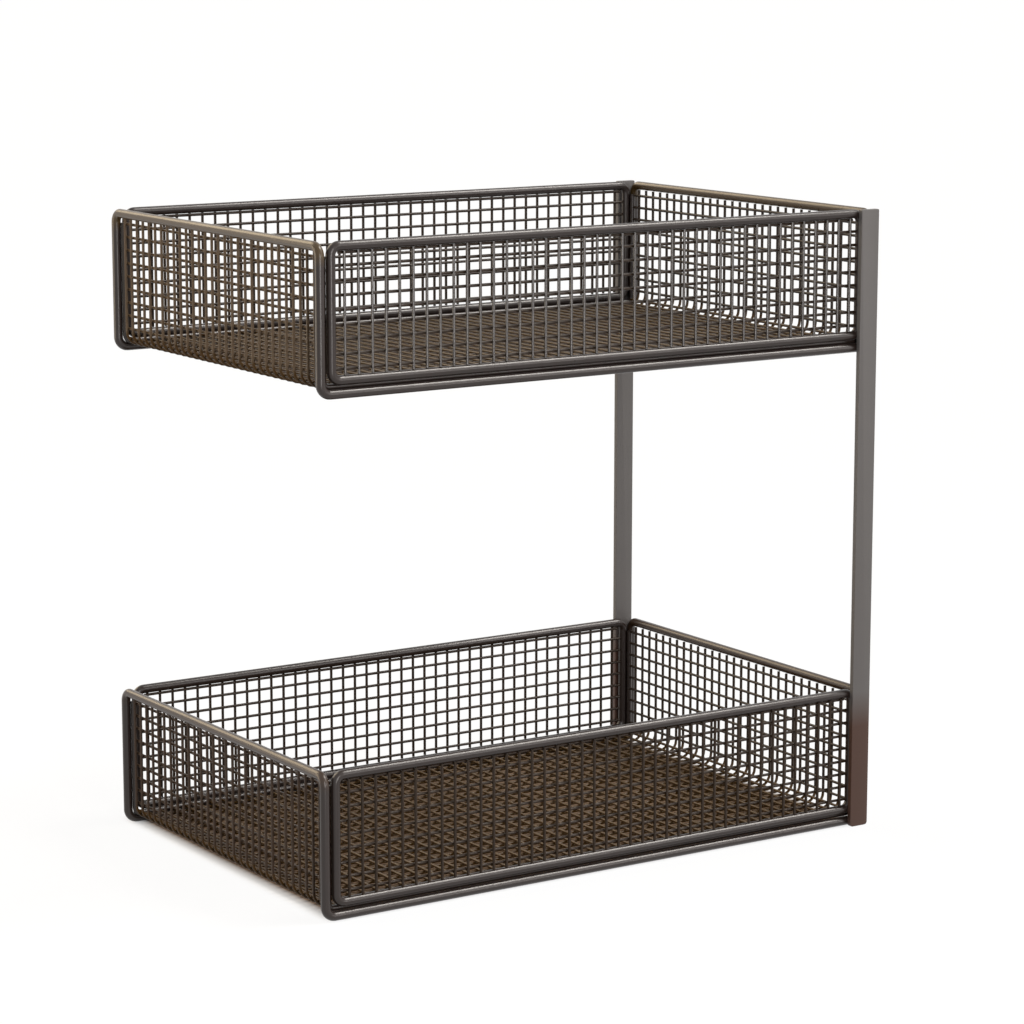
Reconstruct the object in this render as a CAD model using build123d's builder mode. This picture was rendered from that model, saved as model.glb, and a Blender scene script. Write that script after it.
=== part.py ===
# Tiered wire basket: two equal mesh baskets, one above the other, on two flat posts at one end.
#
# Each basket is a frame rod bent like a saddle, a rod loop in each long side, a grid of straight
# wires in each loop, and a tray of U-shaped bows and straight cross wires that makes the floor and
# both short walls. A thicker U-shaped border wire ends the tray at each long side, in the groove
# behind the frame rod and the loop. The posts stand outside the long sides at the +X end and carry
# the upper basket.
#
# Millimetres, +Z up, +X towards the posts, +Y towards the rear side. The origin is the centre of
# the base, on the surface that the basket stands on.
from build123d import *

import os
from math import cos, floor, pi, sin, sqrt

# Outer size of one basket, and the height from one basket's base to the next one's
basket_length = 352.5
basket_width = 229.2
basket_height = 79.0
tier_pitch = 269.7

# Frame rod and loop rod, with bend radii to the rod's centre line. A bend is made of equal turns
frame_rod_diameter = 5.0
frame_bend_radius = 5.4
frame_bend_turns = 3
loop_rod_diameter = 5.0
loop_bend_radius = 4.75
loop_bend_turns = 2

# Clear distance from the frame rod in to the loop rod, at the sides and at the bottom
loop_side_gap = 1.3
loop_bottom_gap = 1.8

# Mesh wire and the spacing of each set of wires, and the tray's border wire
wire_thickness = 1.6
upright_pitch = 8.0
row_pitch = 7.4
bow_pitch = 7.2
tray_floor_pitch = 8.0
tray_wall_pitch = 7.2
border_thickness = 2.4

# Flat bars that join the two tiers
post_width = 12.0
post_thickness = 3.0
post_foot_radius = 1.8

# Clearances
weld_gap = 0.1          # between a wire and the rod or wire that it is welded to
post_gap = 0.3          # between a post and the frame rod

# Centre lines of the frame rod
frame_radius = frame_rod_diameter / 2
frame_x = basket_length / 2 - frame_radius
frame_y = basket_width / 2 - frame_radius
frame_bottom_z = frame_radius
frame_top_z = basket_height - frame_radius

# Centre lines of the loop rod, level with the frame's rails at the top
loop_radius = loop_rod_diameter / 2
loop_x = frame_x - frame_radius - loop_side_gap - loop_radius
loop_bottom_z = frame_rod_diameter + loop_bottom_gap + loop_radius
loop_top_z = basket_height - loop_radius

# Centre of the loop's lower bends, which the tray's corners go round
bend_x = loop_x - loop_bend_radius
bend_z = loop_bottom_z + loop_bend_radius

# Tray, inner layer: cross wires level with the gap between the frame rod and the loop
cross_wall_x = frame_x - frame_radius - loop_side_gap / 2
cross_floor_z = frame_rod_diameter + loop_bottom_gap / 2
cross_corner_reach = cross_wall_x - wire_thickness / 2 - bend_x
corner_wire_shift = (cross_corner_reach + wire_thickness / 2) / sqrt(2)

# Tray, outer layer: the outer faces of the bows, whose ends meet the underside of the top rails
bow_outer_x = cross_wall_x + 3 * wire_thickness / 2
bow_outer_z = cross_floor_z - 3 * wire_thickness / 2
rail_drop = sqrt(frame_radius**2 - (frame_x - bow_outer_x) ** 2)
bow_top_z = frame_top_z - rail_drop - weld_gap

# Border wire: its front corners stop just short of both rods, behind the gap between them
border_outer_x = cross_wall_x + border_thickness / 2
border_outer_z = cross_floor_z - border_thickness / 2
frame_reach = frame_x - border_outer_x
loop_reach = border_outer_x - border_thickness - loop_x
frame_setback = sqrt(max(0, (frame_radius + weld_gap) ** 2 - frame_reach**2))
loop_setback = sqrt(max(0, (loop_radius + weld_gap) ** 2 - loop_reach**2))
border_y = frame_y - max(frame_setback, loop_setback) - border_thickness / 2
border_top_z = frame_top_z - frame_bend_radius

# Window inside a loop, which the straight wires fill from rod to rod
window_bottom_z = loop_bottom_z + loop_radius + weld_gap
window_top_z = loop_top_z - loop_radius - weld_gap
window_x = loop_x - loop_radius - weld_gap
top_row_z = window_top_z - wire_thickness / 2


def corner_cut(outer_x, outer_z, reach):
    """Return the cut of a U's lower corners that puts its outside this far from the loop's bend."""
    return (outer_x - bend_x) + (bend_z - outer_z) - sqrt(2) * reach


def wire_count(span, pitch):
    """Return how many wires at this pitch fit in a straight stretch of this length."""
    return floor((span - wire_thickness) / pitch) + 1


bow_corner_cut = corner_cut(bow_outer_x, bow_outer_z, cross_corner_reach + 2 * wire_thickness)
border_reach = loop_bend_radius + loop_radius + border_thickness
border_corner_cut = corner_cut(border_outer_x, border_outer_z, border_reach)

# Wires stand on straight stretches only, clear of the bends
upright_count = wire_count(2 * bend_x, upright_pitch)
row_count = wire_count(loop_top_z - loop_bend_radius - bend_z, row_pitch)
bow_count = wire_count(2 * (frame_y - frame_bend_radius), bow_pitch)
tray_floor_count = wire_count(2 * (bow_outer_x - bow_corner_cut), tray_floor_pitch)
tray_wall_bottom_z = bow_outer_z + bow_corner_cut
tray_wall_count = wire_count(bow_top_z - tray_wall_bottom_z, tray_wall_pitch)
tray_wall_middle_z = (tray_wall_bottom_z + bow_top_z) / 2

os.makedirs("parts", exist_ok=True)


def save(part, name):
    """Label a finished piece and write its STEP file."""
    part.label = name
    export_step(part, f"parts/{name}.step")
    print(f"{name}: {len(part.solids())} solids")


def bend_points(before, corner, after, bend_radius, turns):
    """Return the points where a path turns in equal steps round the arc of one square corner."""
    way_in = (Vector(corner) - Vector(before)).normalized()
    way_out = (Vector(after) - Vector(corner)).normalized()
    middle = Vector(corner) + (way_out - way_in) * bend_radius
    quarter = pi / 2
    reach = bend_radius / cos(quarter / turns / 2)
    angles = [quarter * (turn + 1 / 2) / turns for turn in range(turns)]
    return [middle + (way_in * sin(angle) - way_out * cos(angle)) * reach for angle in angles]


def bend_rod(corners, bend_radius, turns, rod_radius):
    """Bend one rod round the corners of its +X half, and mirror it to the -X half."""
    path = [corners[0]]
    for before, corner, after in zip(corners, corners[1:], corners[2:]):
        path.extend(bend_points(before, corner, after, bend_radius, turns))
    path.append(corners[-1])
    with BuildPart() as rod:
        with BuildLine() as run:
            Polyline(*path)
        with BuildSketch(Plane(origin=run.line @ 0, z_dir=run.line % 0)):
            Circle(rod_radius)
        sweep(transition=Transition.RIGHT)
        mirror(about=Plane.YZ)
    return rod.part


def bend_square_wires(outer_x, bottom_z, top_z, cut, thickness, places):
    """Make square wires bent to a U with cut corners, open at the top, one at each place along Y."""
    with BuildPart() as wires:
        with BuildSketch(*(Plane.XZ.offset(place) for place in places)) as section:
            with Locations((0, bottom_z)):
                Rectangle(2 * outer_x, top_z + thickness - bottom_z, align=(Align.CENTER, Align.MIN))
            chamfer(section.vertices().group_by(Axis.Y)[0], cut)
            offset(amount=-thickness, kind=Kind.INTERSECTION, mode=Mode.SUBTRACT)
            with Locations((0, top_z)):
                Rectangle(2 * outer_x, thickness, align=(Align.CENTER, Align.MIN), mode=Mode.SUBTRACT)
        extrude(amount=thickness / 2, both=True)
    return wires.part


for tier, base in (("lower", 0), ("upper", tier_pitch)):
    # Saddle: along the front, up, over to the rear along the top rail, down, and back along the rear
    bottom_z = base + frame_bottom_z
    top_z = base + frame_top_z
    saddle_corners = (
        (0, -frame_y, bottom_z),
        (frame_x, -frame_y, bottom_z),
        (frame_x, -frame_y, top_z),
        (frame_x, frame_y, top_z),
        (frame_x, frame_y, bottom_z),
        (0, frame_y, bottom_z),
    )
    saddle_frame = bend_rod(saddle_corners, frame_bend_radius, frame_bend_turns, frame_radius)
    save(saddle_frame, f"{tier}_saddle_frame")

    for side, outward in (("front", -1), ("rear", 1)):
        wall_y = outward * frame_y
        loop_corners = (
            (0, wall_y, base + loop_bottom_z),
            (loop_x, wall_y, base + loop_bottom_z),
            (loop_x, wall_y, base + loop_top_z),
            (0, wall_y, base + loop_top_z),
        )
        loop = bend_rod(loop_corners, loop_bend_radius, loop_bend_turns, loop_radius)
        save(loop, f"{tier}_{side}_loop")

        # The uprights are the outer layer and the rows the inner one: they meet face to face
        # in the loop's plane
        with BuildPart() as upright_wires:
            with BuildSketch(Plane.XY.offset(base + window_bottom_z)):
                with Locations((0, wall_y + outward * wire_thickness / 2)):
                    with GridLocations(upright_pitch, 0, upright_count, 1):
                        Rectangle(wire_thickness, wire_thickness)
            extrude(amount=window_top_z - window_bottom_z)
        save(upright_wires.part, f"{tier}_{side}_upright_wires")

        first_row_z = base + bend_z + wire_thickness / 2
        row_y = wall_y - outward * wire_thickness / 2
        row_places = [(row_y, first_row_z + row * row_pitch) for row in range(row_count)]
        with BuildPart() as row_wires:
            with BuildSketch(Plane.YZ):
                with Locations(*row_places):
                    Rectangle(wire_thickness, wire_thickness)
            extrude(amount=window_x, both=True)

            # One more row lies under the loop's top run, and ends where the bends begin
            with BuildSketch(Plane.YZ):
                with Locations((row_y, base + top_row_z)):
                    Rectangle(wire_thickness, wire_thickness)
            extrude(amount=bend_x, both=True)
        save(row_wires.part, f"{tier}_{side}_row_wires")

    # Bows, and the border wires that end the tray at the front and at the rear
    bow_places = [(number - (bow_count - 1) / 2) * bow_pitch for number in range(bow_count)]
    bow_wires = bend_square_wires(
        bow_outer_x, base + bow_outer_z, base + bow_top_z, bow_corner_cut, wire_thickness, bow_places
    )
    save(bow_wires, f"{tier}_tray_bow_wires")
    border_wires = bend_square_wires(
        border_outer_x,
        base + border_outer_z,
        base + border_top_z,
        border_corner_cut,
        border_thickness,
        (-border_y, border_y),
    )
    save(border_wires, f"{tier}_tray_border_wires")

    # Cross wires of the floor, of both short walls, and one along each lower corner
    with BuildPart() as cross_wires:
        with BuildSketch(Plane.XZ):
            with Locations((0, base + cross_floor_z)):
                with GridLocations(tray_floor_pitch, 0, tray_floor_count, 1):
                    Rectangle(wire_thickness, wire_thickness)
            with Locations((0, base + tray_wall_middle_z)):
                with GridLocations(2 * cross_wall_x, tray_wall_pitch, 2, tray_wall_count):
                    Rectangle(wire_thickness, wire_thickness)
            with Locations((0, base + bend_z - corner_wire_shift)):
                with GridLocations(2 * (bend_x + corner_wire_shift), 0, 2, 1):
                    Rectangle(wire_thickness, wire_thickness, rotation=45)
        extrude(amount=border_y - border_thickness / 2 - weld_gap, both=True)
    save(cross_wires.part, f"{tier}_tray_cross_wires")

# Posts: flat bars on edge against the long sides, from the base to the upper basket's rails
post_height = tier_pitch + basket_height
post_inner_y = frame_y + frame_radius + post_gap
for side, post_y in (("front", -post_inner_y), ("rear", post_inner_y + post_thickness)):
    with BuildPart() as post:
        with BuildSketch(Plane.XZ.offset(-post_y)) as face:
            with Locations((basket_length / 2, 0)):
                Rectangle(post_width, post_height, align=(Align.MAX, Align.MIN))
            fillet(face.vertices().group_by(Axis.Y)[0], post_foot_radius)
        extrude(amount=post_thickness)
    save(post.part, f"{side}_post")
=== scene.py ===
import logging
import math
from dataclasses import dataclass, field
from enum import Enum

import bmesh
import bpy
from mathutils import Matrix, Vector


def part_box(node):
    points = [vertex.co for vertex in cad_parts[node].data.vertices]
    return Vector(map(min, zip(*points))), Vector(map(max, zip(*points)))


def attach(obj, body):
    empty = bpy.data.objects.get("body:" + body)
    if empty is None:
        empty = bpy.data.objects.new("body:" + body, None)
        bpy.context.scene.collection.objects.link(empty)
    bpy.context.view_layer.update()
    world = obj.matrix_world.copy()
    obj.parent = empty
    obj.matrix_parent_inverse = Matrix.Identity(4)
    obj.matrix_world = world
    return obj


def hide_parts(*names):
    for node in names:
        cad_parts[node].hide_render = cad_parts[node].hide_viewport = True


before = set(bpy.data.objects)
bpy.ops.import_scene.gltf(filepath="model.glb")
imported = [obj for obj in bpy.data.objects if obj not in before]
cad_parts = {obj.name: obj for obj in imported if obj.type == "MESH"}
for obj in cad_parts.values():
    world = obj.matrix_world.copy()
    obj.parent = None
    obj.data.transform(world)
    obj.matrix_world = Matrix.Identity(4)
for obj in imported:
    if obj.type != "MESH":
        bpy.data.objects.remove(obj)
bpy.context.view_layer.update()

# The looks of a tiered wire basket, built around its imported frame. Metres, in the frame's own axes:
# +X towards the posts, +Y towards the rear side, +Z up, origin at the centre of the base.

log = logging.getLogger("tiered_basket")

Tone = tuple[float, float, float]

BODY = "root"
WHITE = (1.0, 1.0, 1.0)
NOISE_MIDDLE = 0.5
QUARTER_TURN = math.pi / 2
ROUND_PROFILE = 0.5


class Tier(Enum):
    """The two baskets, by the first word of their nodes' names."""

    LOWER = "lower"
    UPPER = "upper"


class Side(Enum):
    """The two long sides, by the word that their nodes' names carry."""

    FRONT = "front"
    REAR = "rear"


class Slot(Enum):
    """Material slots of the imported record."""

    FRAME_ROD = "frame_rod"
    LOOP_ROD = "loop_rod"
    MESH_WIRE = "mesh_wire"
    POST = "post"


class Graph:
    """A node tree that is being filled, for a material, the world or geometry."""

    MIX_FACTOR, MIX_FIRST, MIX_SECOND = 0, 6, 7
    MIX_RESULT = 2

    def __init__(self, tree: bpy.types.NodeTree) -> None:
        """Keep the tree to fill and clear it."""
        self.tree = tree
        tree.nodes.clear()

    def node(self, kind: str, inputs: dict | None = None, **settings: object) -> bpy.types.Node:
        """Add one node, with its settings first and its sockets after.

        Args:
            kind: Blender's name of the node's type.
            inputs: a value, a socket or a Signal for each input, by the input's name or number.
            settings: the node's properties.

        Returns:
            The new node.
        """
        node = self.tree.nodes.new(kind)
        for name, value in settings.items():
            setattr(node, name, value)
        for key, value in (inputs or {}).items():
            self.feed(node.inputs[key], value)
        return node

    def feed(self, socket: bpy.types.NodeSocket, value: object) -> None:
        """Link a socket or a Signal to an input, or set the input's own value.

        Args:
            socket: the input.
            value: what goes into it; a colour input takes a tone, which is opaque.
        """
        source = value.socket if isinstance(value, Signal) else value
        if isinstance(source, bpy.types.NodeSocket):
            self.tree.links.new(source, socket)
        elif socket.type == "RGBA":
            socket.default_value = (*source, 1.0)
        else:
            socket.default_value = source

    def position(self) -> bpy.types.NodeSocket:
        """Return the shaded place, in metres, in the object's own axes."""
        return self.node("ShaderNodeTexCoord").outputs["Object"]

    def axes(self) -> dict[str, "Signal"]:
        """Return the shaded place's X, Y and Z."""
        split = self.node("ShaderNodeSeparateXYZ", {"Vector": self.position()}).outputs
        return {axis: Signal(self, split[axis]) for axis in "XYZ"}

    def blend(self, factor: "Signal", first: object, second: object) -> bpy.types.NodeSocket:
        """Mix two tones or colour sockets: a factor of 0 gives the first one, 1 the second."""
        inputs = {self.MIX_FACTOR: factor, self.MIX_FIRST: first, self.MIX_SECOND: second}
        return self.node("ShaderNodeMix", inputs, data_type="RGBA").outputs[self.MIX_RESULT]

    def mix_shaders(
        self, factor: "Signal", first: bpy.types.Node, second: bpy.types.Node
    ) -> bpy.types.NodeSocket:
        """Mix two shaders' nodes: a factor of 0 gives the first one, 1 the second."""
        inputs = {0: factor, 1: first.outputs[0], 2: second.outputs[0]}
        return self.node("ShaderNodeMixShader", inputs).outputs[0]


class Signal:
    """A number socket that takes Python's arithmetic and adds the Math nodes for it."""

    def __init__(self, graph: Graph, socket: bpy.types.NodeSocket) -> None:
        """Wrap an output socket of a graph."""
        self.graph = graph
        self.socket = socket

    def calculated(self, operation: str, *values: object) -> "Signal":
        """Return the result of a Math node on these values, in order."""
        node = self.graph.node("ShaderNodeMath", dict(enumerate(values)), operation=operation)
        return Signal(self.graph, node.outputs[0])

    def math(self, operation: str, *others: object) -> "Signal":
        """Return the result of a Math node on this signal and the others."""
        return self.calculated(operation, self, *others)

    def __add__(self, other: object) -> "Signal":
        """Sum."""
        return self.math("ADD", other)

    __radd__ = __add__

    def __mul__(self, other: object) -> "Signal":
        """Product."""
        return self.math("MULTIPLY", other)

    __rmul__ = __mul__

    def __sub__(self, other: object) -> "Signal":
        """Difference."""
        return self.math("SUBTRACT", other)

    def __rsub__(self, other: float) -> "Signal":
        """Difference from a number."""
        return self.calculated("SUBTRACT", other, self)

    def __truediv__(self, other: object) -> "Signal":
        """Quotient."""
        return self.math("DIVIDE", other)

    def __rtruediv__(self, other: float) -> "Signal":
        """Quotient of a number."""
        return self.calculated("DIVIDE", other, self)

    def clamped(self) -> "Signal":
        """The signal held between 0 and 1."""
        return self.math("MAXIMUM", 0.0).math("MINIMUM", 1.0)

    def above(self, start: float, fade: float) -> "Signal":
        """Return 0 up to a value and 1 from one fade above it."""
        return ((self - start) / fade).clamped()

    def below(self, start: float, fade: float) -> "Signal":
        """Return 0 down to a value and 1 from one fade below it."""
        return ((start - self) / fade).clamped()

    def near(self, middle: float, half: float, fade: float) -> "Signal":
        """Return 1 within half a band's width of its middle and 0 outside, with soft ends inside it."""
        return (self - middle).math("ABSOLUTE").below(half, fade)


@dataclass(frozen=True)
class Coat:
    """A dark baked coat on metal: two tones in soft clouds, a fine orange peel and a satin gloss."""

    name: str
    tone: Tone
    second_tone: Tone
    roughness: float
    specular: float
    roughness_spread: float = 0.08
    gloss_cloud_size: float = 0.006
    gloss_cloud_detail: float = 2.0
    cloud_size: float = 0.018
    cloud_detail: float = 3.0
    peel_size: float = 0.0009
    peel_detail: float = 1.0
    peel_depth: float = 0.00003

    @staticmethod
    def noise(graph: Graph, size: float, detail: float) -> Signal:
        """Return a noise from 0 to 1 whose clouds are this wide, in metres."""
        inputs = {"Vector": graph.position(), "Scale": 1.0 / size, "Detail": detail}
        return Signal(graph, graph.node("ShaderNodeTexNoise", inputs).outputs["Fac"])

    def colour(self, graph: Graph) -> bpy.types.NodeSocket:
        """Return the base colour: the two tones mixed by soft clouds."""
        clouds = self.noise(graph, self.cloud_size, self.cloud_detail)
        return graph.blend(clouds, self.tone, self.second_tone)

    def material(self) -> bpy.types.Material:
        """Build the material.

        Returns:
            The new material.
        """
        material = bpy.data.materials.new(self.name)
        material.use_nodes = True
        graph = Graph(material.node_tree)
        uneven = self.noise(graph, self.gloss_cloud_size, self.gloss_cloud_detail)
        roughness = (uneven - NOISE_MIDDLE) * self.roughness_spread + self.roughness
        peel = self.noise(graph, self.peel_size, self.peel_detail)
        bump = graph.node("ShaderNodeBump", {"Strength": 1.0, "Distance": self.peel_depth, "Height": peel})
        surface = graph.node(
            "ShaderNodeBsdfPrincipled",
            {
                "Base Color": self.colour(graph),
                "Roughness": roughness,
                "Specular IOR Level": self.specular,
                "Normal": bump.outputs["Normal"],
            },
        )
        graph.node("ShaderNodeOutputMaterial", {"Surface": surface.outputs["BSDF"]})
        return material


@dataclass(frozen=True)
class PostCoat(Coat):
    """The posts' coat: neutral grey, with a painted reflection that turns it warmer and darker towards the
    foot.
    """

    # Painted reflection: the foot's warmer, darker tone.
    foot_reflection_tone: Tone = (0.076, 0.041, 0.03)
    foot_top: float = 0.078
    foot_fade: float = 0.02

    def colour(self, graph: Graph) -> bpy.types.NodeSocket:
        """Return the base colour: the two tones, and the foot's painted reflection below its fade."""
        above_foot = graph.axes()["Z"].above(self.foot_top - self.foot_fade, self.foot_fade)
        return graph.blend(above_foot, self.foot_reflection_tone, super().colour(graph))


@dataclass(frozen=True)
class RailCoat(Coat):
    """The frame rod's coat: painted warm reflection on the upper top rails, a dimmer dark brown one on the
    lower's.
    """

    # Painted warm reflection along the upper basket's top rails.
    rail_reflection_tone: Tone = (0.062, 0.037, 0.011)
    rail_bottom: float = 0.336
    rail_fade: float = 0.006
    # A dimmer painted warm reflection along the lower basket's top rails, which the upper basket shades.
    low_rail_reflection_tone: Tone = (0.036, 0.02, 0.011)
    low_rail_middle: float = 0.0765
    low_rail_half: float = 0.008

    def colour(self, graph: Graph) -> bpy.types.NodeSocket:
        """Return the base colour: the two tones, and the painted reflections of the lower and the upper
        rails.

        Args:
            graph: the material's graph.

        Returns:
            The colour socket.
        """
        height = graph.axes()["Z"]
        on_low_rail = height.near(self.low_rail_middle, self.low_rail_half, self.rail_fade)
        shown = graph.blend(on_low_rail, super().colour(graph), self.low_rail_reflection_tone)
        on_rail = height.above(self.rail_bottom, self.rail_fade)
        return graph.blend(on_rail, shown, self.rail_reflection_tone)


@dataclass(frozen=True)
class MeshCoat(Coat):
    """The wires' coat: painted warm light, bronze on both floors and brown on both left walls; dark on the
    other walls.
    """

    # Painted warm light from above on the floor wires.
    floor_light_tone: Tone = (0.063, 0.0305, 0.0045)
    floor_middles: tuple[float, float] = (0.0055, 0.2752)
    floor_half: float = 0.0065
    # Painted warm light from the left on the left walls, dimmer on the lower basket's.
    left_light_tone: Tone = (0.112, 0.076, 0.045)
    low_left_light_tone: Tone = (0.056, 0.036, 0.024)
    upper_tier_z: float = 0.2
    left_x: float = -0.166
    tone_fade: float = 0.002

    def colour(self, graph: Graph) -> bpy.types.NodeSocket:
        """Return the base colour: the two tones, then the left walls' painted light and the floors'.

        Args:
            graph: the material's graph.

        Returns:
            The colour socket.
        """
        place = graph.axes()
        on_upper = place["Z"].math("GREATER_THAN", self.upper_tier_z)
        left = graph.blend(on_upper, self.low_left_light_tone, self.left_light_tone)
        on_left = place["X"].below(self.left_x, self.tone_fade)
        shown = graph.blend(on_left, super().colour(graph), left)
        for middle in self.floor_middles:
            on_floor = place["Z"].near(middle, self.floor_half, self.tone_fade)
            shown = graph.blend(on_floor, shown, self.floor_light_tone)
        return shown


def add_object(name: str, data: bpy.types.ID) -> bpy.types.Object:
    """Put a new object in the scene.

    Args:
        name: the object's name.
        data: its mesh, lamp or camera data.

    Returns:
        The object.
    """
    added = bpy.data.objects.new(name, data)
    bpy.context.scene.collection.objects.link(added)
    return added


class WireTree:
    """Geometry Nodes that bend a round wire along corner points and repeat it at a steady pitch."""

    SIZES = (
        ("Wire radius", "NodeSocketFloat"),
        ("Wire sides", "NodeSocketInt"),
        ("Bend radius", "NodeSocketFloat"),
        ("Bend steps", "NodeSocketInt"),
        ("Copies", "NodeSocketInt"),
        ("Pitch", "NodeSocketVector"),
        ("Coat", "NodeSocketMaterial"),
    )
    SHARP_ANGLE = math.radians(50.0)

    def __init__(self) -> None:
        """Build the tree once; every wire in the basket runs through it."""
        self.tree = bpy.data.node_groups.new("bent_wire", "GeometryNodeTree")
        face = self.tree.interface
        face.new_socket(name="Corners", in_out="INPUT", socket_type="NodeSocketGeometry")
        self.keys = {
            name: face.new_socket(name=name, in_out="INPUT", socket_type=kind).identifier
            for name, kind in self.SIZES
        }
        face.new_socket(name="Wires", in_out="OUTPUT", socket_type="NodeSocketGeometry")
        graph = Graph(self.tree)
        given = graph.node("NodeGroupInput").outputs
        line = graph.node("GeometryNodeMeshToCurve", {"Mesh": given["Corners"]})
        bend = {
            "Curve": line.outputs["Curve"],
            "Count": given["Bend steps"],
            "Radius": given["Bend radius"],
            "Limit Radius": True,
        }
        bent = graph.node("GeometryNodeFilletCurve", bend, mode="POLY")
        section = {"Resolution": given["Wire sides"], "Radius": given["Wire radius"]}
        ring = graph.node("GeometryNodeCurvePrimitiveCircle", section)
        sweep = {
            "Curve": bent.outputs["Curve"],
            "Profile Curve": ring.outputs["Curve"],
            "Fill Caps": True,
        }
        tube = graph.node("GeometryNodeCurveToMesh", sweep)
        rounded = {"Geometry": tube.outputs["Mesh"], "Shade Smooth": True}
        smooth = graph.node("GeometryNodeSetShadeSmooth", rounded, domain="FACE")
        angle = graph.node("GeometryNodeInputMeshEdgeAngle").outputs["Unsigned Angle"]
        steep = {0: angle, 1: self.SHARP_ANGLE}
        sharp = graph.node("FunctionNodeCompare", steep, data_type="FLOAT", operation="GREATER_THAN")
        kept = {"Geometry": smooth.outputs[0], "Selection": sharp.outputs[0], "Shade Smooth": False}
        creased = graph.node("GeometryNodeSetShadeSmooth", kept, domain="EDGE")
        row = {"Count": given["Copies"], "Offset": given["Pitch"]}
        places = graph.node("GeometryNodeMeshLine", row, mode="OFFSET")
        repeat = {"Points": places.outputs["Mesh"], "Instance": creased.outputs[0]}
        copies = graph.node("GeometryNodeInstanceOnPoints", repeat)
        real = graph.node("GeometryNodeRealizeInstances", {"Geometry": copies.outputs["Instances"]})
        dressed = {"Geometry": real.outputs[0], "Material": given["Coat"]}
        coated = graph.node("GeometryNodeSetMaterial", dressed)
        graph.node("NodeGroupOutput", {"Wires": coated.outputs[0]})

    def run(self, corners: bpy.types.Mesh, sizes: dict) -> bpy.types.Mesh:
        """Run the tree on one set of corner points.

        Args:
            corners: points joined by edges, one line for each wire.
            sizes: a value for each of the tree's named inputs.

        Returns:
            The finished plain mesh.
        """
        carrier = add_object("wire_carrier", corners)
        modifier = carrier.modifiers.new("bent_wire", "NODES")
        modifier.node_group = self.tree
        for name, value in sizes.items():
            modifier[self.keys[name]] = value
        evaluated = carrier.evaluated_get(bpy.context.evaluated_depsgraph_get())
        mesh = bpy.data.meshes.new_from_object(evaluated)
        carrier.modifiers.remove(modifier)
        bpy.data.objects.remove(carrier)
        bpy.data.meshes.remove(corners)
        return mesh


@dataclass
class WireSet:
    """One straight or bent wire and its copies: corner points, section, bends and pitch."""

    lines: list[list[Vector]]
    radius: float
    closed: bool = False
    sides: int = 8
    bend_radius: float = 0.0
    bend_steps: int = 1
    copies: int = 1
    pitch: Vector = field(default_factory=Vector)

    def corners(self) -> bpy.types.Mesh:
        """Make the mesh of corner points and the edges between them.

        Returns:
            The mesh that the tree bends its wires along.
        """
        points, edges = [], []
        for line in self.lines:
            first = len(points)
            points.extend(line)
            edges.extend((first + number, first + number + 1) for number in range(len(line) - 1))
            if self.closed:
                edges.append((len(points) - 1, first))
        mesh = bpy.data.meshes.new("corners")
        mesh.from_pydata([tuple(point) for point in points], edges, [])
        return mesh

    def mesh(self, tree: WireTree, coat: bpy.types.Material) -> bpy.types.Mesh:
        """Bend and repeat the wire.

        Args:
            tree: the Geometry Nodes tree.
            coat: the wire's material.

        Returns:
            The plain mesh of every copy.
        """
        sizes = {
            "Wire radius": self.radius,
            "Wire sides": self.sides,
            "Bend radius": self.bend_radius,
            "Bend steps": self.bend_steps,
            "Copies": self.copies,
            "Pitch": self.pitch,
            "Coat": coat,
        }
        return tree.run(self.corners(), sizes)


@dataclass
class Workshop:
    """What every sub-assembly needs to finish a piece: the wire tree and the coats."""

    tree: WireTree
    coats: dict[Slot, bpy.types.Material]
    # The painted-highlight coat: a glossier, greyer copy of the wire coat.
    highlighted_coat: bpy.types.Material

    def place(self, name: str, mesh: bpy.types.Mesh, slot: Slot, *nodes: str) -> bpy.types.Object:
        """Put a finished mesh in the scene in place of its CAD nodes.

        Args:
            name: the piece's name.
            mesh: the finished mesh, with its place in it.
            slot: the record's material slot; not used.
            nodes: the CAD nodes that the piece stands for.

        Returns:
            The piece.
        """
        piece = add_object(name, mesh)
        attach(piece, BODY)
        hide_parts(*nodes)
        log.info("%s: %d faces, stands for %s", name, len(mesh.polygons), ", ".join(nodes))
        return piece

    def wires(
        self, name: str, slot: Slot, *sets: WireSet, coat: bpy.types.Material | None = None
    ) -> bpy.types.Object:
        """Make one piece out of one or more sets of wires and replace the node of that name.

        Args:
            name: the CAD node's name; the piece is called the same with a _round ending.
            slot: the record's material slot.
            sets: the wires.
            coat: the coat, where it isn't the slot's own.

        Returns:
            The piece.
        """
        coat = coat or self.coats[slot]
        joined = bmesh.new()
        for wires in sets:
            part = wires.mesh(self.tree, coat)
            joined.from_mesh(part)
            bpy.data.meshes.remove(part)
        mesh = bpy.data.meshes.new(f"{name}_round")
        joined.to_mesh(mesh)
        joined.free()
        mesh.materials.append(coat)
        return self.place(f"{name}_round", mesh, slot, name)


def middle_places(low: float, high: float, thickness: float, pitch: float) -> tuple[float, float, int]:
    """Work out a row of equal wires from the box that they fill.

    Args:
        low: the row's lowest face.
        high: the row's highest face.
        thickness: one wire's thickness.
        pitch: about how far apart the wires are.

    Returns:
        The first wire's middle, the exact pitch and the count.
    """
    first = low + thickness / 2
    span = high - thickness / 2 - first
    steps = max(1, round(span / pitch))
    return first, span / steps, steps + 1


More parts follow.
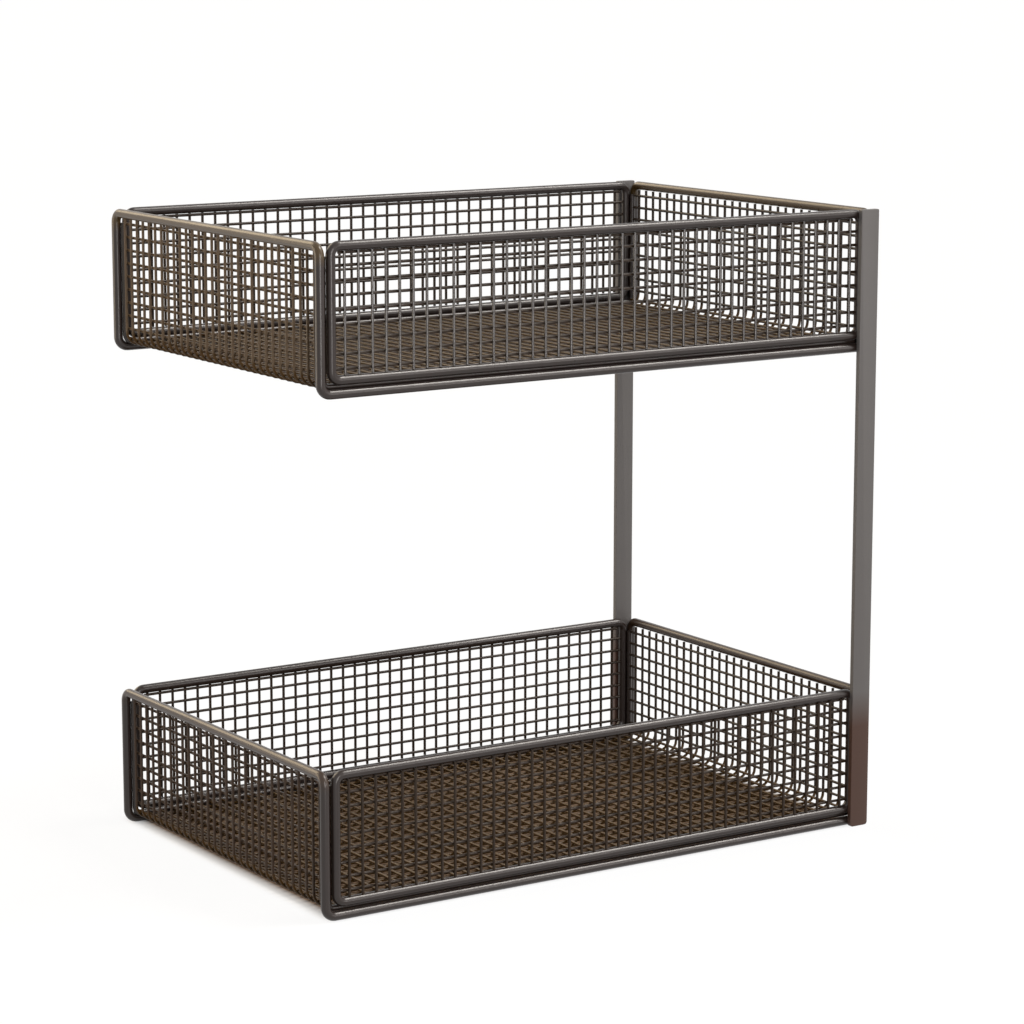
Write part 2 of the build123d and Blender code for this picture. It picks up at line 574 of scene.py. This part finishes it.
@dataclass
class Basket:
    """One tier: the saddle frame, both loops with their grids, and the tray.

    The thicknesses are the solids' own, except border_radius: the visible border wires are thicker
    round the same middle line, and fill the groove behind the rods.
    """

    tier: Tier
    frame_rod: float = 0.005
    frame_bend: float = 0.0054
    loop_rod: float = 0.005
    loop_bend: float = 0.00475
    wire: float = 0.0016
    bow_bend: float = 0.007
    border_wire: float = 0.0024
    border_radius: float = 0.0017
    border_bend: float = 0.003
    upright_pitch: float = 0.008
    row_pitch: float = 0.0074
    bow_pitch: float = 0.0072
    tray_floor_pitch: float = 0.008
    tray_wall_pitch: float = 0.0072
    rod_sides: int = 28
    rod_bend_steps: int = 9
    wire_bend_steps: int = 5

    @property
    def wire_radius(self) -> float:
        """Half of a mesh wire's thickness."""
        return self.wire / 2

    def node(self, *words: str) -> str:
        """Return the name of one of this tier's CAD nodes."""
        return "_".join((self.tier.value, *words))

    def build(self, shop: Workshop) -> None:
        """Build and dress every piece of the tier.

        Args:
            shop: the wire tree and the coats.
        """
        self.saddle(shop)
        for side in Side:
            self.loop(shop, side)
            self.uprights(shop, side)
            self.rows(shop, side)
        self.bows(shop)
        self.borders(shop)
        self.cross_wires(shop)

    def closed_rod(self, corners: list[Vector], radius: float, bend: float) -> WireSet:
        """Bend a rod round these corner points and join its ends.

        Args:
            corners: the corner points of the rod's middle line.
            radius: the rod's radius.
            bend: the radius of each bend's middle line.

        Returns:
            The rod.
        """
        return WireSet(
            [corners],
            radius,
            closed=True,
            sides=self.rod_sides,
            bend_radius=bend,
            bend_steps=self.rod_bend_steps,
        )

    def saddle(self, shop: Workshop) -> bpy.types.Object:
        """Bend the frame rod: two U-shaped long sides joined by the top rails of the short sides.

        Args:
            shop: the wire tree and the coats.

        Returns:
            The piece.
        """
        name = self.node("saddle_frame")
        low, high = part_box(name)
        radius = self.frame_rod / 2
        x, y = high.x - radius, high.y - radius
        bottom, top = low.z + radius, high.z - radius
        arch = ((-y, bottom), (-y, top), (y, top), (y, bottom))
        right = [Vector((x, *place)) for place in arch]
        left = [Vector((-x, *place)) for place in reversed(arch)]
        return shop.wires(name, Slot.FRAME_ROD, self.closed_rod(right + left, radius, self.frame_bend))

    def loop(self, shop: Workshop, side: Side) -> bpy.types.Object:
        """Bend the rod loop of one long side.

        Args:
            shop: the wire tree and the coats.
            side: the long side.

        Returns:
            The piece.
        """
        name = self.node(side.value, "loop")
        low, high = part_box(name)
        radius = self.loop_rod / 2
        y = (low.y + high.y) / 2
        left, right, bottom, top = low.x + radius, high.x - radius, low.z + radius, high.z - radius
        ring = ((left, bottom), (right, bottom), (right, top), (left, top))
        corners = [Vector((x, y, z)) for x, z in ring]
        return shop.wires(name, Slot.LOOP_ROD, self.closed_rod(corners, radius, self.loop_bend))

    def uprights(self, shop: Workshop, side: Side) -> bpy.types.Object:
        """Set the upright wires of one long side; the upper front's get a glossier, greyer coat as a painted
        highlight.

        Args:
            shop: the wire tree and the coats.
            side: the long side.

        Returns:
            The piece.
        """
        name = self.node(side.value, "upright_wires")
        low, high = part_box(name)
        y = (low.y + high.y) / 2
        first, pitch, count = middle_places(low.x, high.x, self.wire, self.upright_pitch)
        line = [Vector((first, y, low.z)), Vector((first, y, high.z))]
        wires = WireSet([line], self.wire_radius, copies=count, pitch=Vector((pitch, 0.0, 0.0)))
        # Painted highlight: a glossier, greyer coat on the upper front uprights.
        highlighted = self.tier is Tier.UPPER and side is Side.FRONT
        coat = shop.highlighted_coat if highlighted else None
        return shop.wires(name, Slot.MESH_WIRE, wires, coat=coat)

    def rows(self, shop: Workshop, side: Side) -> bpy.types.Object:
        """Set the level wires behind the uprights of one long side, one close under the loop's top.

        Args:
            shop: the wire tree and the coats.
            side: the long side.

        Returns:
            The piece.
        """
        name = self.node(side.value, "row_wires")
        low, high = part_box(name)
        y = (low.y + high.y) / 2
        first, top = low.z + self.wire_radius, high.z - self.wire_radius
        line = [Vector((low.x, y, first)), Vector((high.x, y, first))]
        count = round((top - first) / self.row_pitch)
        wires = WireSet([line], self.wire_radius, copies=count, pitch=Vector((0.0, 0.0, self.row_pitch)))

        loop_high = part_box(self.node(side.value, "loop"))[1]
        reach = loop_high.x - self.loop_rod / 2 - self.loop_bend
        top_wire = WireSet([[Vector((-reach, y, top)), Vector((reach, y, top))]], self.wire_radius)
        return shop.wires(name, Slot.MESH_WIRE, wires, top_wire)

    @staticmethod
    def tray_line(low: Vector, high: Vector, half: float, y: float) -> list[Vector]:
        """Trace a U-shaped wire's middle line: down one short wall, along the floor and up the other.

        Args:
            low: the lowest corner of the node's box.
            high: the highest corner of the node's box.
            half: half of the solid wire's thickness.
            y: the wire's middle.

        Returns:
            The four corner points.
        """
        left, right, floor = low.x + half, high.x - half, low.z + half
        outline = ((left, high.z), (left, floor), (right, floor), (right, high.z))
        return [Vector((x, y, z)) for x, z in outline]

    def bows(self, shop: Workshop) -> bpy.types.Object:
        """Bend the tray's U-shaped wires.

        Args:
            shop: the wire tree and the coats.

        Returns:
            The piece.
        """
        name = self.node("tray_bow_wires")
        low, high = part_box(name)
        first, pitch, count = middle_places(low.y, high.y, self.wire, self.bow_pitch)
        wires = WireSet(
            [self.tray_line(low, high, self.wire_radius, first)],
            self.wire_radius,
            bend_radius=self.bow_bend,
            bend_steps=self.wire_bend_steps,
            copies=count,
            pitch=Vector((0.0, pitch, 0.0)),
        )
        return shop.wires(name, Slot.MESH_WIRE, wires)

    def borders(self, shop: Workshop) -> bpy.types.Object:
        """Bend the border wires, which end the tray in the groove behind the frame rod and each loop.

        Args:
            shop: the wire tree and the coats.

        Returns:
            The piece.
        """
        name = self.node("tray_border_wires")
        low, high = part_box(name)
        half = self.border_wire / 2
        wires = WireSet(
            [self.tray_line(low, high, half, y) for y in (low.y + half, high.y - half)],
            self.border_radius,
            bend_radius=self.border_bend,
            bend_steps=self.wire_bend_steps,
        )
        return shop.wires(name, Slot.MESH_WIRE, wires, coat=shop.coats[Slot.LOOP_ROD])

    def cross_wires(self, shop: Workshop) -> bpy.types.Object:
        """Set the tray's straight wires, which lie inside the bows on the floor, walls and lower bends.

        Args:
            shop: the wire tree and the coats.

        Returns:
            The piece.
        """
        name = self.node("tray_cross_wires")
        low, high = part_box(name)
        bow_low, bow_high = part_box(self.node("tray_bow_wires"))
        half = self.wire_radius
        wall_x = high.x - half
        floor_z = low.z + half

        bend_x = bow_high.x - half - self.bow_bend
        bend_z = bow_low.z + half + self.bow_bend
        reach = (self.bow_bend - self.wire) / math.sqrt(2.0)
        corner_x, corner_z = bend_x + reach, bend_z - reach

        floor_half_count = math.ceil(bend_x / self.tray_floor_pitch)
        floor_first = (0.5 - floor_half_count) * self.tray_floor_pitch
        wall_steps = math.floor((high.z - half - corner_z) / self.tray_wall_pitch)
        wall_first = high.z - half - wall_steps * self.tray_wall_pitch

        def across(x: float, z: float) -> list[Vector]:
            """Return a line from the front side to the rear side at this place."""
            return [Vector((x, low.y, z)), Vector((x, high.y, z))]

        floor_wires = WireSet(
            [across(floor_first, floor_z)],
            self.wire_radius,
            copies=2 * floor_half_count,
            pitch=Vector((self.tray_floor_pitch, 0.0, 0.0)),
        )
        wall_wires = WireSet(
            [across(-wall_x, wall_first), across(wall_x, wall_first)],
            self.wire_radius,
            copies=wall_steps + 1,
            pitch=Vector((0.0, 0.0, self.tray_wall_pitch)),
        )
        corner_lines = [across(-corner_x, corner_z), across(corner_x, corner_z)]
        corner_wires = WireSet(corner_lines, self.wire_radius)
        return shop.wires(name, Slot.MESH_WIRE, floor_wires, wall_wires, corner_wires)


@dataclass
class Post:
    """A flat bar on edge against one long side, from the surface to the upper basket's rails."""

    side: Side
    foot_radius: float = 0.0018
    top_radius: float = 0.0008
    corner_steps: int = 6
    edge_width: float = 0.0003
    edge_segments: int = 3

    def outline(self, low: Vector, high: Vector) -> list[tuple[float, float]]:
        """Trace the bar's face with its rounded corners.

        Args:
            low: the lowest corner of the CAD bar.
            high: the highest corner of the CAD bar.

        Returns:
            (x, z) points round the face.
        """
        corners = (
            (low.x, low.z, 1, 1, self.foot_radius, 2),
            (high.x, low.z, -1, 1, self.foot_radius, 3),
            (high.x, high.z, -1, -1, self.top_radius, 0),
            (low.x, high.z, 1, -1, self.top_radius, 1),
        )
        points = []
        for x, z, dx, dz, radius, quarters in corners:
            centre_x, centre_z = x + dx * radius, z + dz * radius
            for step in range(self.corner_steps + 1):
                angle = quarters * QUARTER_TURN + step / self.corner_steps * QUARTER_TURN
                points.append((centre_x + radius * math.cos(angle), centre_z + radius * math.sin(angle)))
        return points

    def build(self, shop: Workshop) -> bpy.types.Object:
        """Build the bar with broken edges.

        Args:
            shop: the wire tree and the coats.

        Returns:
            The piece.
        """
        name = f"{self.side.value}_post"
        low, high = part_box(name)
        shape = bmesh.new()
        face = shape.faces.new([shape.verts.new((x, low.y, z)) for x, z in self.outline(low, high)])
        grown = bmesh.ops.extrude_face_region(shape, geom=[face])["geom"]
        moved = [item for item in grown if isinstance(item, bmesh.types.BMVert)]
        bmesh.ops.translate(shape, verts=moved, vec=(0.0, high.y - low.y, 0.0))
        bmesh.ops.recalc_face_normals(shape, faces=shape.faces)
        ends = [(edge, edge.verts[0].co.y - edge.verts[1].co.y) for edge in shape.edges]
        bmesh.ops.bevel(
            shape,
            geom=[edge for edge, rise in ends if abs(rise) < self.edge_width],
            offset=self.edge_width,
            segments=self.edge_segments,
            profile=ROUND_PROFILE,
            affect="EDGES",
        )
        for item in shape.faces:
            item.smooth = True
        mesh = bpy.data.meshes.new(f"{name}_bar")
        shape.to_mesh(mesh)
        shape.free()
        mesh.materials.append(shop.coats[Slot.POST])
        return shop.place(f"{name}_bar", mesh, Slot.POST, name)


@dataclass(frozen=True)
class PhotoCamera:
    """The camera that the photograph's edges give, in the frame's axes."""

    place: tuple[float, float, float] = (-0.98195, -1.52778, 0.50874)
    yaw: float = 33.06766
    pitch_down: float = 10.28457
    roll: float = 0.03457
    lens: float = 116.27
    sensor: float = 36.0
    clip_end: float = 200.0

    def build(self) -> bpy.types.Object:
        """Set up the camera and make it the scene's.

        Returns:
            The camera object.
        """
        yaw, pitch, roll = (math.radians(angle) for angle in (self.yaw, self.pitch_down, self.roll))
        ahead = Vector((math.sin(yaw) * math.cos(pitch), math.cos(yaw) * math.cos(pitch), -math.sin(pitch)))
        right = Vector((math.cos(yaw), -math.sin(yaw), 0.0))
        up = right.cross(ahead)
        turned_right = right * math.cos(roll) + up * math.sin(roll)
        turned_up = up * math.cos(roll) - right * math.sin(roll)
        data = bpy.data.cameras.new("photo_camera")
        data.lens = self.lens
        data.sensor_width = self.sensor
        data.clip_end = self.clip_end
        camera = add_object("photo_camera", data)
        axes = Matrix((turned_right, turned_up, -ahead)).transposed().to_4x4()
        camera.matrix_world = Matrix.Translation(Vector(self.place)) @ axes
        bpy.context.scene.camera = camera
        return camera


@dataclass(frozen=True)
class SunLamp:
    """A far soft lamp: where it stands as azimuth and height in degrees, its spread and strength."""

    name: str
    azimuth: float
    height: float
    spread: float
    strength: float
    tint: Tone

    def build(self) -> bpy.types.Object:
        """Hang the lamp.

        Returns:
            The lamp object.
        """
        data = bpy.data.lights.new(self.name, "SUN")
        data.energy = self.strength
        data.angle = math.radians(self.spread)
        data.color = self.tint
        lamp = add_object(self.name, data)
        azimuth, height = math.radians(self.azimuth), math.radians(self.height)
        level = math.cos(height)
        towards = Vector((math.sin(azimuth) * level, -math.cos(azimuth) * level, math.sin(height)))
        lamp.rotation_euler = towards.to_track_quat("Z", "Y").to_euler()
        return lamp


@dataclass(frozen=True)
class SoftBox:
    """A rectangular lamp that stands near the object and faces it, hidden from the camera."""

    name: str
    azimuth: float
    distance: float
    middle_z: float
    width: float
    tall: float
    power: float
    tint: Tone
    target_z: float = 0.2

    def build(self) -> bpy.types.Object:
        """Stand the lamp.

        Returns:
            The lamp object.
        """
        data = bpy.data.lights.new(self.name, "AREA")
        data.shape = "RECTANGLE"
        data.size, data.size_y = self.width, self.tall
        data.energy = self.power
        data.color = self.tint
        lamp = add_object(self.name, data)
        azimuth = math.radians(self.azimuth)
        place = Vector((math.sin(azimuth) * self.distance, -math.cos(azimuth) * self.distance, self.middle_z))
        lamp.location = place
        lamp.rotation_euler = (place - Vector((0.0, 0.0, self.target_z))).to_track_quat("Z", "Y").to_euler()
        lamp.visible_camera = False
        return lamp


@dataclass(frozen=True)
class Studio:
    """The pale floor, with a painted shadow under the basket, the white surroundings and the lamps."""

    floor_half: float = 60.0
    floor_drop: float = 0.0002
    seen_tone: Tone = (0.965, 0.98, 1.0)
    bounce_tone: Tone = (0.2, 0.2, 0.2)
    floor_glow: float = 0.9
    ambient: float = 0.26
    # Painted shadow on the floor under the lower basket.
    shade_tone: Tone = (0.22, 0.155, 0.11)
    shade_middle: tuple[float, float] = (0.004, 0.006)
    shade_half: tuple[float, float] = (0.178, 0.121)
    shade_fade: float = 0.012
    lamps: tuple[SunLamp | SoftBox, ...] = (
        SunLamp("overhead", 66.0, 55.0, 18.0, 2.1, (1.0, 0.95, 0.89)),
        SunLamp("front_right", 43.0, 39.0, 16.0, 0.45, (1.0, 0.95, 0.92)),
        SunLamp("front_low", 33.0, 11.0, 18.0, 0.4, (1.0, 0.95, 0.92)),
        SoftBox("front_box", -16.0, 1.35, 0.42, 0.28, 0.8, 8.0, (1.0, 0.95, 0.93)),
        SoftBox("left_box", -122.0, 1.1, 0.35, 0.5, 0.7, 4.5, (1.0, 0.8, 0.56)),
        SunLamp("rear", -163.0, 34.0, 34.0, 1.2, (1.0, 0.8, 0.52)),
    )

    def seen_rays(self, graph: Graph) -> Signal:
        """Return 1 for rays that show the surroundings: camera, glossy and transmission rays.

        Args:
            graph: the material's or the world's graph.

        Returns:
            The mask.
        """
        rays = graph.node("ShaderNodeLightPath").outputs
        names = ("Is Camera Ray", "Is Glossy Ray", "Is Transmission Ray")
        camera, glossy, through = (Signal(graph, rays[name]) for name in names)
        return (camera + glossy + through).clamped()

    def surroundings(self) -> None:
        """Make the world white where it is seen, and a plain soft light elsewhere."""
        world = bpy.data.worlds.new("studio")
        world.use_nodes = True
        bpy.context.scene.world = world
        graph = Graph(world.node_tree)
        light = graph.node("ShaderNodeBackground", {"Color": WHITE, "Strength": self.ambient})
        seen = graph.node("ShaderNodeBackground", {"Color": WHITE, "Strength": 1.0})
        mixed = graph.mix_shaders(self.seen_rays(graph), light, seen)
        graph.node("ShaderNodeOutputWorld", {"Surface": mixed})

    def under_basket(self, graph: Graph) -> Signal:
        """Return 1 on the floor below the lower basket: a painted shadow, dark between the mesh's wires.

        Args:
            graph: the floor material's graph.

        Returns:
            The mask, with soft edges.
        """
        place = graph.axes()
        along, across = (
            place[axis].near(middle, half, self.shade_fade)
            for axis, middle, half in zip("XY", self.shade_middle, self.shade_half)
        )
        return along * across

    def floor(self) -> bpy.types.Object:
        """Lay the floor: it looks white and keeps a faint shadow.

        Returns:
            The floor object.
        """
        half, z = self.floor_half, -self.floor_drop
        mesh = bpy.data.meshes.new("studio_floor")
        corners = [(-half, -half, z), (half, -half, z), (half, half, z), (-half, half, z)]
        mesh.from_pydata(corners, [], [(0, 1, 2, 3)])
        material = bpy.data.materials.new("studio_floor")
        material.use_nodes = True
        graph = Graph(material.node_tree)
        seen = self.seen_rays(graph)
        shade = self.under_basket(graph)
        shown = graph.blend(shade, self.seen_tone, self.shade_tone)
        paper = graph.node("ShaderNodeBsdfDiffuse", {"Color": graph.blend(seen, self.bounce_tone, shown)})
        glow = graph.node("ShaderNodeEmission", {"Color": WHITE, "Strength": 1.0})
        mixed = graph.mix_shaders(seen * (1.0 - shade) * self.floor_glow, paper, glow)
        graph.node("ShaderNodeOutputMaterial", {"Surface": mixed})
        mesh.materials.append(material)
        floor = add_object("studio_floor", mesh)
        return floor

    def build(self) -> None:
        """Set up the floor, the surroundings and the lamps."""
        self.surroundings()
        self.floor()
        for lamp in self.lamps:
            lamp.build()
        bpy.context.scene.view_settings.view_transform = "Standard"


ROD_TONES = ((0.026, 0.017, 0.014), (0.019, 0.013, 0.011))
WIRE_TONES = ((0.034, 0.021, 0.013), (0.025, 0.016, 0.01))
POST_TONES = ((0.143, 0.136, 0.133), (0.13, 0.124, 0.121))
# Painted highlight: a glossier, greyer copy of the wire coat for the upper front uprights.
HIGHLIGHTED_TONES = ((0.034, 0.025, 0.02), (0.027, 0.02, 0.016))
COATS = {
    Slot.FRAME_ROD: RailCoat("frame_rod_coat", *ROD_TONES, roughness=0.29, specular=0.45),
    Slot.LOOP_ROD: Coat("loop_rod_coat", *ROD_TONES, roughness=0.29, specular=0.42),
    Slot.MESH_WIRE: MeshCoat("mesh_wire_coat", *WIRE_TONES, roughness=0.34, specular=0.2),
    Slot.POST: PostCoat("post_coat", *POST_TONES, roughness=0.42, specular=0.3),
}
HIGHLIGHTED_COAT = Coat("highlighted_wire_coat", *HIGHLIGHTED_TONES, roughness=0.26, specular=0.9)


def main() -> None:
    """Build the baskets, the posts, the camera and the studio, and report each."""
    logging.basicConfig(level=logging.INFO, format="%(name)s: %(message)s")
    tree = WireTree()
    coats = {slot: coat.material() for slot, coat in COATS.items()}
    shop = Workshop(tree, coats, HIGHLIGHTED_COAT.material())
    for tier in Tier:
        Basket(tier).build(shop)
        log.info("%s basket built", tier.value)
    for side in Side:
        Post(side).build(shop)
    log.info("posts built")
    PhotoCamera().build()
    Studio().build()
    log.info("camera and studio set")


if __name__ == "__main__":
    main()
